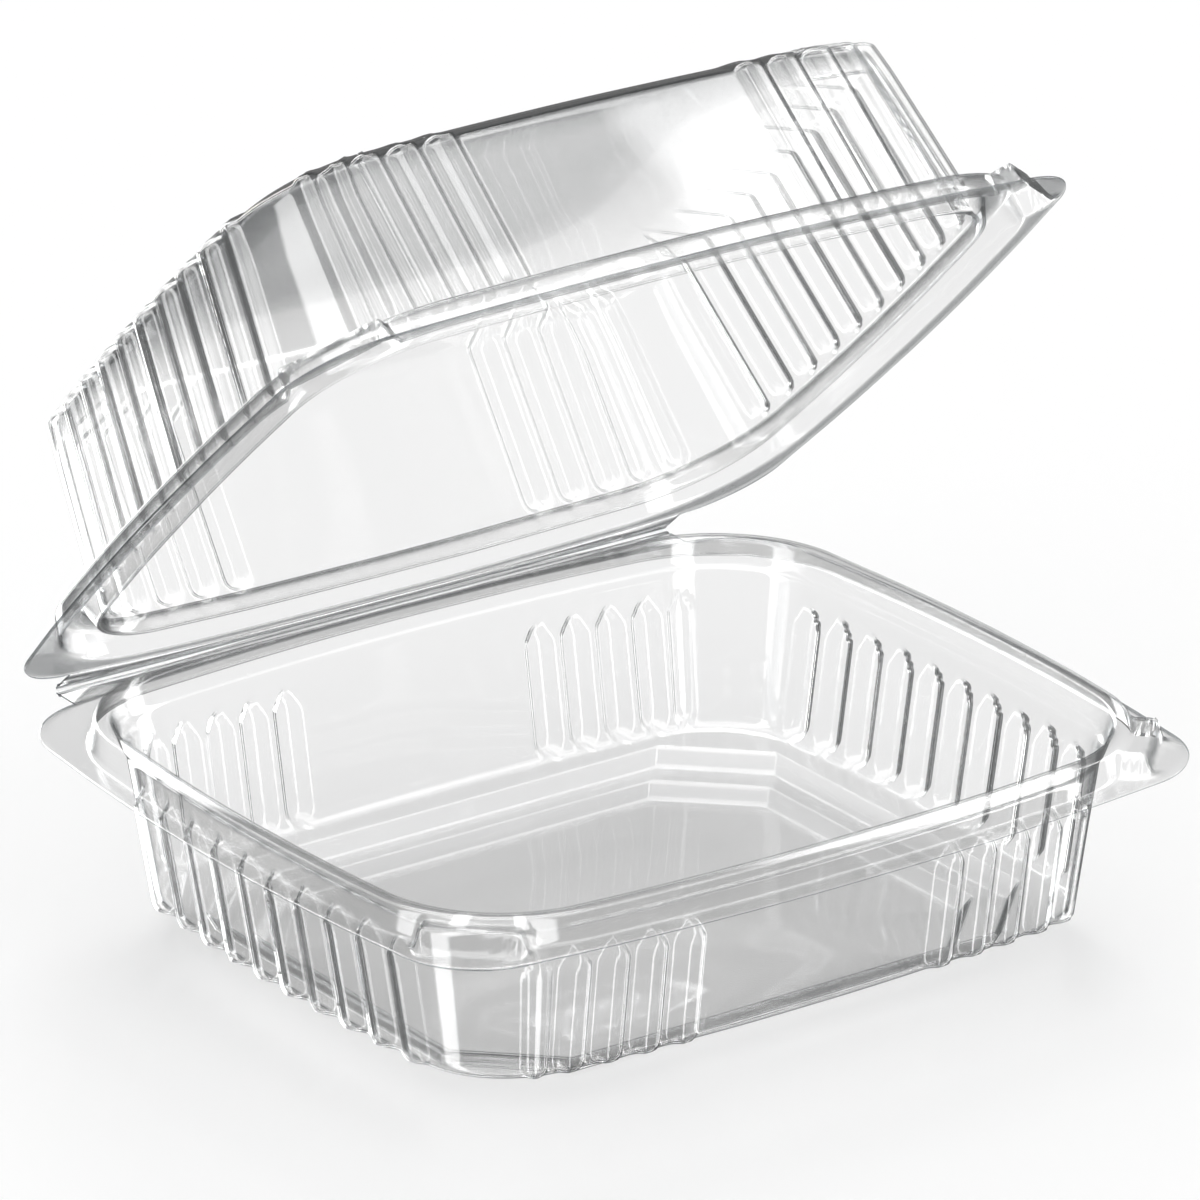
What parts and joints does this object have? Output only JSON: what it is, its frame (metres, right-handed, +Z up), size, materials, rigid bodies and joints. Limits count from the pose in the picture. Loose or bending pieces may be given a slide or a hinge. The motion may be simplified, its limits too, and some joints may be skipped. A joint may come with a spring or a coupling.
{
  "type": "plastic clamshell pack",
  "caption": "Clear thermoformed clamshell food pack: fluted tray with stepped floor, fluted domed lid, raised sealing rim, corner locks and a living hinge along the back.",
  "frame": {"origin": "on the table under the middle of the tray: centre of the tray's flat foot, at its underside", "axes": "+X along the hinge, +Y from the front edge to the hinge at the back, +Z up"},
  "size_m": [0.23, 0.2217, 0.2101],
  "materials": {
    "clear_sheet": "clear glossy thermoformed PET sheet"
  },
  "bodies": {
    "tray": {"base_tray": "clear_sheet"},
    "lid": {"lid": "clear_sheet"}
  },
  "joints": [
    {"name": "lid_hinge", "type": "hinge", "parent": "tray", "child": "lid", "pos_m": [0, 0.1054, 0.04918], "axis": [1, 0, 0], "range_deg": [-123, 42]}
  ]
}
